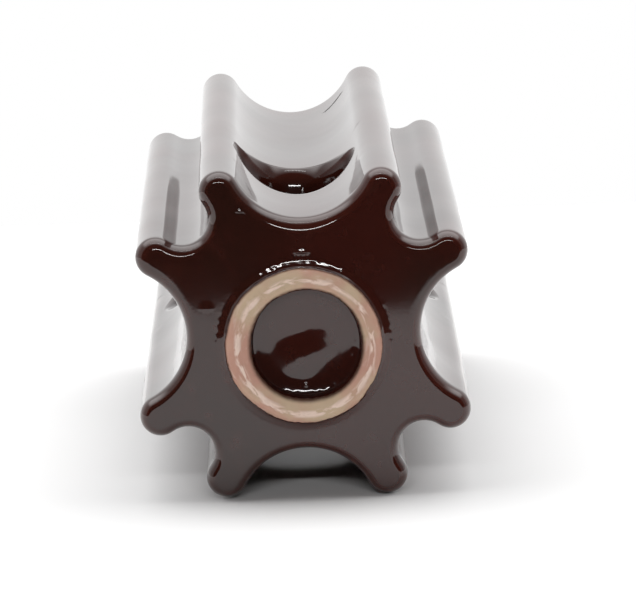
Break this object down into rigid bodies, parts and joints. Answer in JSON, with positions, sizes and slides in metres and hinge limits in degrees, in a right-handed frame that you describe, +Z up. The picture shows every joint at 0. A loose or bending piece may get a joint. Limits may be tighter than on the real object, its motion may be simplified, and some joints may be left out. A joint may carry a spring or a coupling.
{
  "type": "guy strain insulator",
  "caption": "Brown-glazed porcelain strain insulator: a fluted bar with ribs, wire grooves and crossed wire holes, to be looped by two guy wires.",
  "frame": {"origin": "on the ground under the middle of the body, between the two ribs that it lies on", "axes": "+Y along the long axis, from the end with the kiln ring towards the plain end; +Z up along the hole nearer the ring; +X along the other hole"},
  "size_m": [0.079, 0.1714, 0.079],
  "materials": {
    "brown_glaze": "wet-process porcelain under a glossy chocolate-brown glaze, with the glaze wiped off the kiln ring so that pinkish tan clay shows"
  },
  "bodies": {
    "root": {"porcelain_body": "brown_glaze"}
  },
  "joints": []
}
